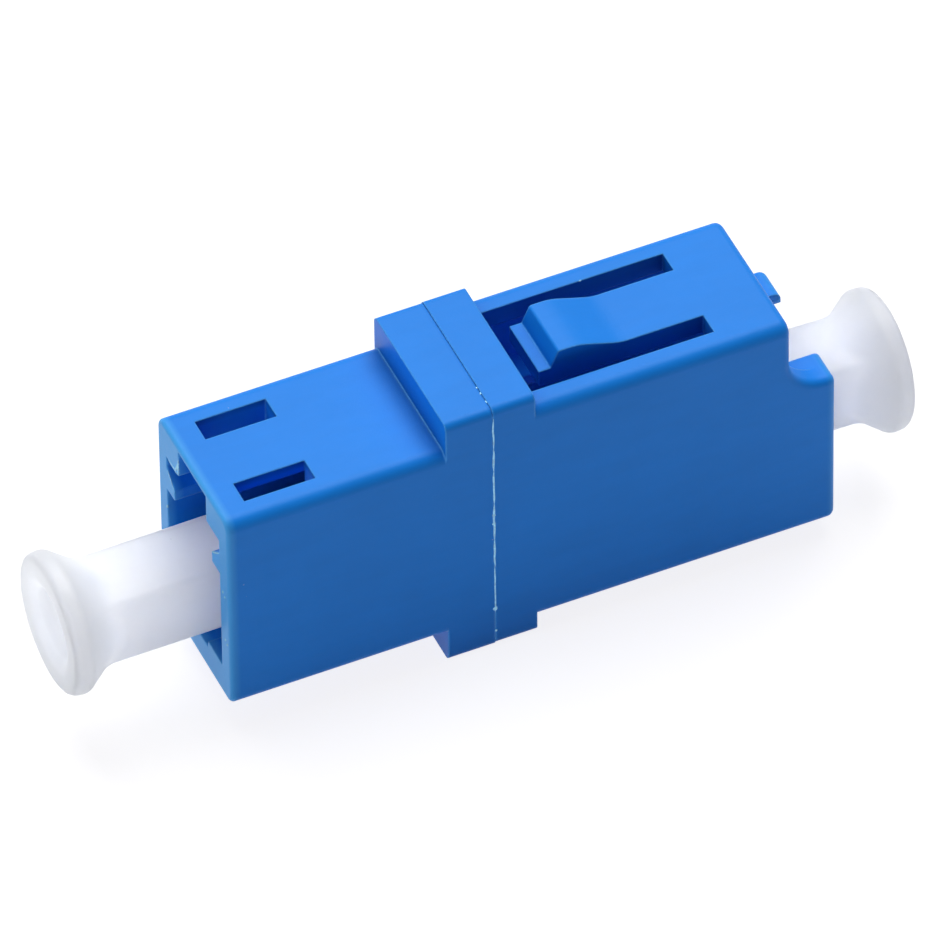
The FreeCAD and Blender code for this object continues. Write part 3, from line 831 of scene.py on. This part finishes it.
class ADAPTER_OT_stage(bpy.types.Operator):
    """Lay the floor, hang the lamps and place the camera"""
    bl_idname = "adapter.stage"
    bl_label = "Stage"

    def execute(self, context):
        settings = context.scene.adapter_stage
        bm = bmesh.new()
        bmesh.ops.create_grid(bm, x_segments=8, y_segments=8, size=FLOOR_REACH)
        bmesh.ops.translate(bm, verts=bm.verts, vec=(0.0, 0.0, FLOOR_Z))
        mesh = bpy.data.meshes.new("floor")
        bm.to_mesh(mesh)
        bm.free()
        mesh.materials.append(floor_material(settings))
        floor = bpy.data.objects.new("floor", mesh)
        context.scene.collection.objects.link(floor)
        sky(settings)
        lamp("key", settings.key, size=0.45, place=(0.06, 0.20, 0.46),
             colour=(1.0, 0.99, 0.98))
        lamp("fill", settings.fill, size=0.30, place=(-0.47, -0.03, 0.06),
             colour=(0.96, 0.98, 1.0))
        camera(settings)
        context.scene.view_settings.view_transform = "Standard"
        return {"FINISHED"}


# ---- the sidebar ----

class ADAPTER_PT_sidebar(bpy.types.Panel):
    """Settings and operators of the adapter"""
    bl_idname = "ADAPTER_PT_sidebar"
    bl_label = "LC fibre adapter"
    bl_space_type = "VIEW_3D"
    bl_region_type = "UI"
    bl_category = "Adapter"

    def draw(self, context):
        for title, name, operators in GROUPS:
            box = self.layout.box()
            box.label(text=title)
            settings = getattr(context.scene, name)
            for key in settings.__annotations__:
                box.prop(settings, key)
            for operator in operators:
                box.operator(operator)


GROUPS = (
    ("Housings", "adapter_housing", ("adapter.housings", "adapter.sleeve")),
    ("Dust caps", "adapter_caps", ("adapter.dust_caps",)),
    ("Flash", "adapter_flash", ("adapter.weld_flash", "adapter.mould_flash")),
    ("Stage", "adapter_stage", ("adapter.stage",)),
)
SETTINGS = {
    "adapter_housing": HousingSettings,
    "adapter_caps": CapSettings,
    "adapter_flash": FlashSettings,
    "adapter_stage": StageSettings,
}
OPERATORS = (
    ADAPTER_OT_housings,
    ADAPTER_OT_sleeve,
    ADAPTER_OT_dust_caps,
    ADAPTER_OT_weld_flash,
    ADAPTER_OT_mould_flash,
    ADAPTER_OT_stage,
)


def register():
    for group in (*SETTINGS.values(), *OPERATORS, ADAPTER_PT_sidebar):
        bpy.utils.register_class(group)
    for name, group in SETTINGS.items():
        setattr(bpy.types.Scene, name, PointerProperty(type=group))


def unregister():
    for name in SETTINGS:
        delattr(bpy.types.Scene, name)
    for group in reversed((*SETTINGS.values(), *OPERATORS, ADAPTER_PT_sidebar)):
        bpy.utils.unregister_class(group)


def main():
    register()
    bpy.ops.adapter.housings()
    bpy.ops.adapter.sleeve()
    bpy.ops.adapter.dust_caps()
    bpy.ops.adapter.weld_flash()
    bpy.ops.adapter.mould_flash()
    bpy.ops.adapter.stage()


if __name__ == "__main__":
    main()
